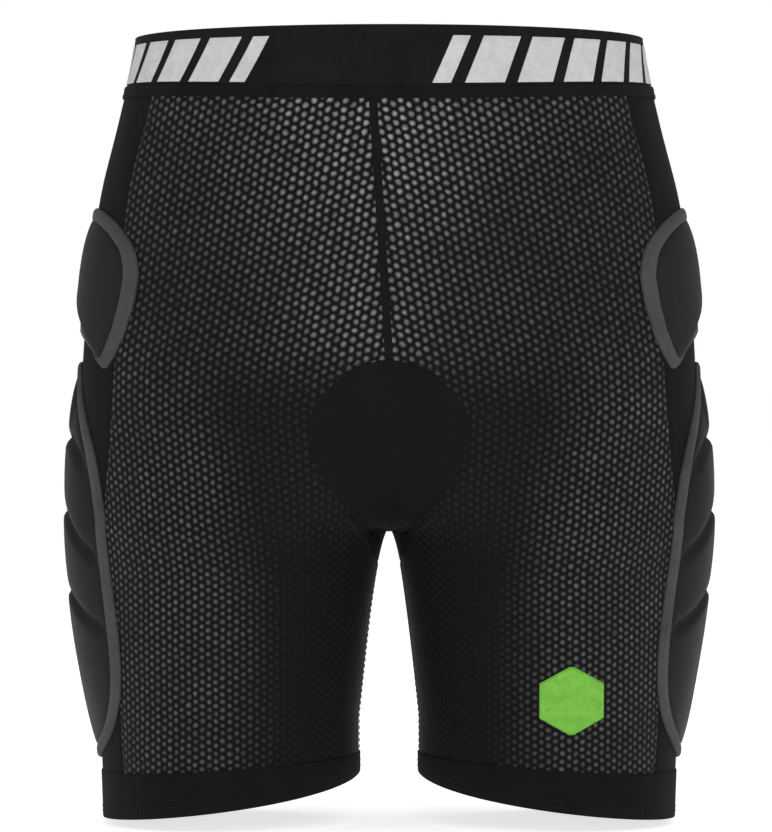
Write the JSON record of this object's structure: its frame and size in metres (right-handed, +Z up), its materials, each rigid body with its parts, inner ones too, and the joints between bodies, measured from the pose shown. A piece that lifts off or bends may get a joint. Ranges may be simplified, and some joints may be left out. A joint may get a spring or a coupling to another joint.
{
  "type": "padded impact shorts",
  "caption": "Close-fitting mesh shorts with a wide elastic waistband, bound foam pads over the hips, outer thighs and tailbone, a plain crotch gusset and plain leg hems.",
  "frame": {"origin": "centre of the waist opening, level with the top edge of the waistband", "axes": "+Z up along the body, from the hems to the waist; the front faces -Y; +X is the wearer's left"},
  "size_m": [0.4014, 0.2452, 0.481],
  "materials": {
    "elastic": "woven elastic, matt black",
    "print": "thin light grey silicone print",
    "plain_knit": "smooth stretch knit, black",
    "mesh_knit": "hexagonal air mesh, black with a soft sheen",
    "lining": "brushed lining, dark grey",
    "foam": "closed-cell foam",
    "pad_cover": "moulded stretch fabric, charcoal",
    "binding": "grey bound edge",
    "badge": "soft green moulded badge"
  },
  "bodies": {
    "torso": {"waistband": "elastic", "waist_strip": "plain_knit", "waist_print_left": "print", "waist_print_right": "print", "front_seam_tape": "plain_knit", "rear_seam_tape": "plain_knit", "front_body_left": "mesh_knit", "front_body_right": "mesh_knit", "side_body_left": "plain_knit", "side_body_right": "plain_knit", "rear_body_left": "mesh_knit", "rear_body_right": "mesh_knit", "gusset_left": "plain_knit", "gusset_right": "plain_knit", "gusset_lining_left": "lining", "gusset_lining_right": "lining", "hip_pad_foam_left": "foam", "hip_pad_foam_right": "foam", "hip_pad_cover_left": "pad_cover", "hip_pad_cover_right": "pad_cover", "hip_pad_binding_left": "binding", "hip_pad_binding_right": "binding", "tail_pad_foam": "foam", "tail_pad_cover": "pad_cover", "tail_pad_binding": "binding"},
    "left_leg": {"front_thigh_left": "mesh_knit", "side_thigh_left": "plain_knit", "rear_thigh_left": "mesh_knit", "thigh_pad_foam_left": "foam", "thigh_pad_cover_left": "pad_cover", "thigh_pad_binding_left": "binding", "hem_left": "plain_knit", "thigh_badge": "badge"},
    "right_leg": {"front_thigh_right": "mesh_knit", "side_thigh_right": "plain_knit", "rear_thigh_right": "mesh_knit", "thigh_pad_foam_right": "foam", "thigh_pad_cover_right": "pad_cover", "thigh_pad_binding_right": "binding", "hem_right": "plain_knit"}
  },
  "joints": [
    {"name": "left_leg_swing", "type": "hinge", "parent": "torso", "child": "left_leg", "pos_m": [0.095, 0, -0.195], "axis": [-1, 0, 0], "range_deg": [-15, 45], "deforming": ["front_thigh_left", "side_thigh_left", "rear_thigh_left", "thigh_pad_foam_left", "thigh_pad_cover_left", "thigh_pad_binding_left"]},
    {"name": "right_leg_swing", "type": "hinge", "parent": "torso", "child": "right_leg", "pos_m": [-0.095, 0, -0.195], "axis": [-1, 0, 0], "range_deg": [-15, 45], "deforming": ["front_thigh_right", "side_thigh_right", "rear_thigh_right", "thigh_pad_foam_right", "thigh_pad_cover_right", "thigh_pad_binding_right"]}
  ]
}
